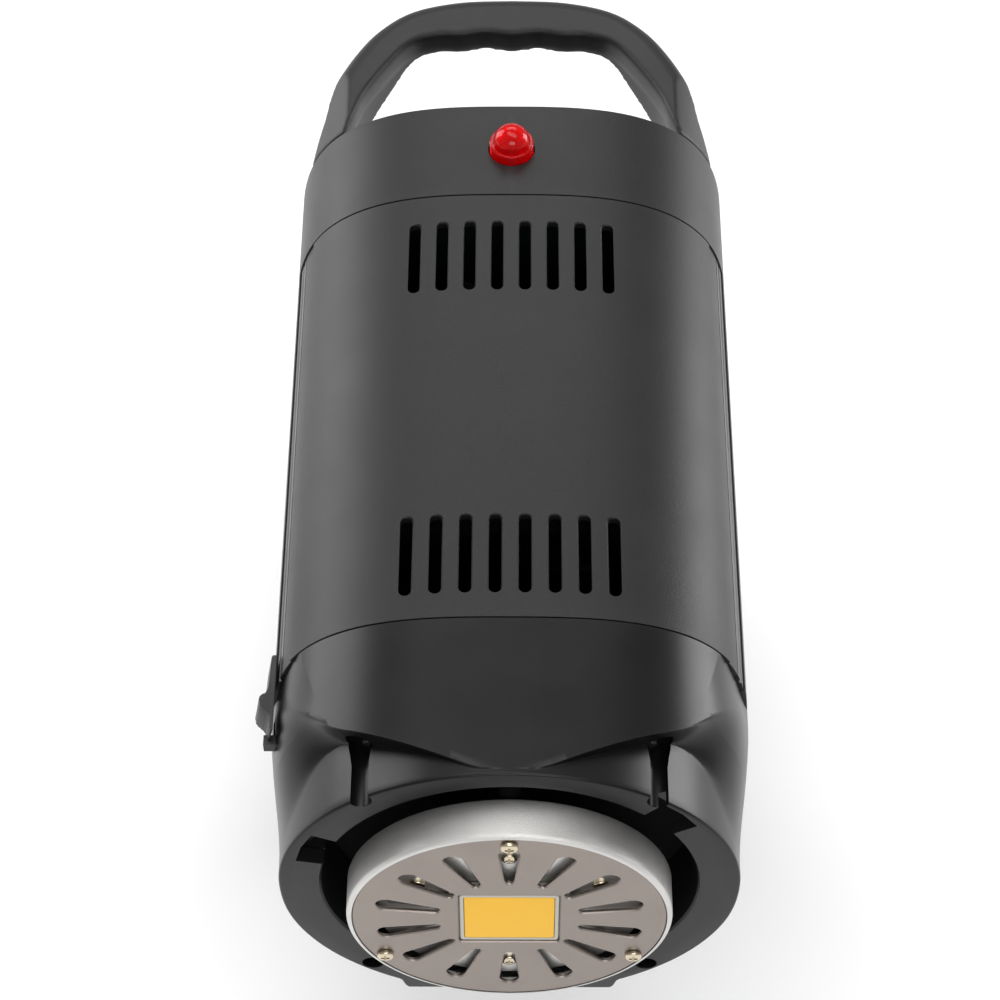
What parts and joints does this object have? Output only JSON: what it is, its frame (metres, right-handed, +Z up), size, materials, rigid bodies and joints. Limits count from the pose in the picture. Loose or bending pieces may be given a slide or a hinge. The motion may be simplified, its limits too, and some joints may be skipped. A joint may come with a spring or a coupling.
{
  "type": "monolight strobe",
  "caption": "Monolight studio head with slotted emitter plate in a round accessory ring, vented casing, bow handle and tilting stand bracket.",
  "frame": {"origin": "centre of the stand socket's mouth, on its lower face", "axes": "-Z leaves the stand socket towards the stand, +Z up, the light shines along -Y, the handle is at +Y"},
  "size_m": [0.1603, 0.3649, 0.2294],
  "materials": {
    "casing_grain": "fine-grained satin charcoal plastic",
    "casing_satin": "smooth satin charcoal plastic",
    "cup_silver": "metallic silver paint",
    "plate_warm": "satin warm grey",
    "steel": "bright plated",
    "alloy": "mill finish",
    "anodised": "black anodised",
    "phosphor": "smooth gel",
    "board_white": "matte white",
    "red_lens": "clear red",
    "black_plastic": "moulded black",
    "board_green": "circuit board",
    "winding": "taped winding",
    "capacitor_sleeve": "printed-free sleeve",
    "display_glass": "smoked window",
    "bracket_black": "black painted casting",
    "friction": "fibre friction disc"
  },
  "bodies": {
    "stand_block": {"tilt_block": "bracket_black"},
    "head": {"body_top_cover": "casing_grain", "body_bottom_cover": "casing_grain", "rear_cap": "casing_grain", "front_housing": "casing_satin", "handle": "casing_satin", "side_rail_left": "casing_satin", "side_rail_right": "casing_satin", "fan_frame": "black_plastic", "slave_sensor": "black_plastic", "rear_panel": "black_plastic", "rocker_bezel": "black_plastic", "inlet_socket": "black_plastic", "fuse_holder": "black_plastic", "wire_harness": "black_plastic", "reflector_cup": "cup_silver", "emitter_plate": "plate_warm", "pivot_bolt": "steel", "plate_screw_1": "steel", "plate_screw_2": "steel", "plate_screw_3": "steel", "bracket_screw_1": "steel", "bracket_screw_2": "steel", "bracket_screw_3": "steel", "bracket_screw_4": "steel", "front_screw_1": "steel", "front_screw_2": "steel", "front_screw_3": "steel", "front_screw_4": "steel", "panel_screw_1": "steel", "panel_screw_2": "steel", "panel_screw_3": "steel", "panel_screw_4": "steel", "heat_spreader": "alloy", "heat_sink": "anodised", "cob_phosphor": "phosphor", "cob_board": "board_white", "slave_dome": "red_lens", "power_board": "board_green", "control_board": "board_green", "transformer": "winding", "capacitor_1": "capacitor_sleeve", "capacitor_2": "capacitor_sleeve", "display_window": "display_glass", "bracket_clevis": "bracket_black", "friction_washer_left": "friction", "friction_washer_right": "friction", "latch_spring": "steel"},
    "tilt_knob": {"tilt_knob": "black_plastic"},
    "spigot_knob": {"spigot_knob": "black_plastic"},
    "umbrella_knob": {"umbrella_knob": "black_plastic"},
    "latch": {"latch_slider": "black_plastic"},
    "fan": {"fan_rotor": "black_plastic"},
    "dial": {"power_dial": "black_plastic"},
    "button_1": {"button_1": "casing_satin"},
    "button_2": {"button_2": "casing_satin"},
    "button_3": {"button_3": "casing_satin"},
    "rocker": {"rocker_switch": "black_plastic"},
    "fuse_cap": {"fuse_cap": "black_plastic"}
  },
  "joints": [
    {"name": "tilt", "type": "hinge", "parent": "stand_block", "child": "head", "pos_m": [0, 0, 0.048], "axis": [1, 0, 0], "range_deg": [-90, 90]},
    {"name": "tilt_knob_turn", "type": "hinge", "parent": "head", "child": "tilt_knob", "pos_m": [0.03, 0, 0.048], "axis": [1, 0, 0], "range_deg": [-180, 180]},
    {"name": "spigot_knob_turn", "type": "hinge", "parent": "stand_block", "child": "spigot_knob", "pos_m": [0.02, 0, 0.013], "axis": [1, 0, 0], "range_deg": [-360, 0]},
    {"name": "umbrella_knob_turn", "type": "hinge", "parent": "head", "child": "umbrella_knob", "pos_m": [-0.02, 0, 0.071], "axis": [1, 0, 0], "range_deg": [0, 360]},
    {"name": "latch_slide", "type": "slide", "parent": "head", "child": "latch", "axis": [0, 1, 0], "range_m": [0, 0.006], "stiffness_N_per_m": 600, "springref_m": -0.004, "deforming": ["latch_spring"]},
    {"name": "fan_spin", "type": "hinge", "parent": "head", "child": "fan", "pos_m": [0, -0.026, 0.1517], "axis": [0, 1, 0], "continuous": true},
    {"name": "dial_turn", "type": "hinge", "parent": "head", "child": "dial", "pos_m": [-0.032, 0.13, 0.1227], "axis": [0, 1, 0], "range_deg": [-135, 135]},
    {"name": "button_1_press", "type": "slide", "parent": "head", "child": "button_1", "axis": [0, -1, 0], "range_m": [0, 0.0012], "stiffness_N_per_m": 1500, "springref_m": -0.0005},
    {"name": "button_2_press", "type": "slide", "parent": "head", "child": "button_2", "axis": [0, -1, 0], "range_m": [0, 0.0012], "stiffness_N_per_m": 1500, "springref_m": -0.0005},
    {"name": "button_3_press", "type": "slide", "parent": "head", "child": "button_3", "axis": [0, -1, 0], "range_m": [0, 0.0012], "stiffness_N_per_m": 1500, "springref_m": -0.0005},
    {"name": "rocker_tilt", "type": "hinge", "parent": "head", "child": "rocker", "pos_m": [-0.004, 0.1236, 0.1217], "axis": [1, 0, 0], "range_deg": [-16, 0]},
    {"name": "fuse_cap_turn", "type": "hinge", "parent": "head", "child": "fuse_cap", "pos_m": [0.036, 0.129, 0.1477], "axis": [0, 1, 0], "range_deg": [-90, 0]}
  ]
}
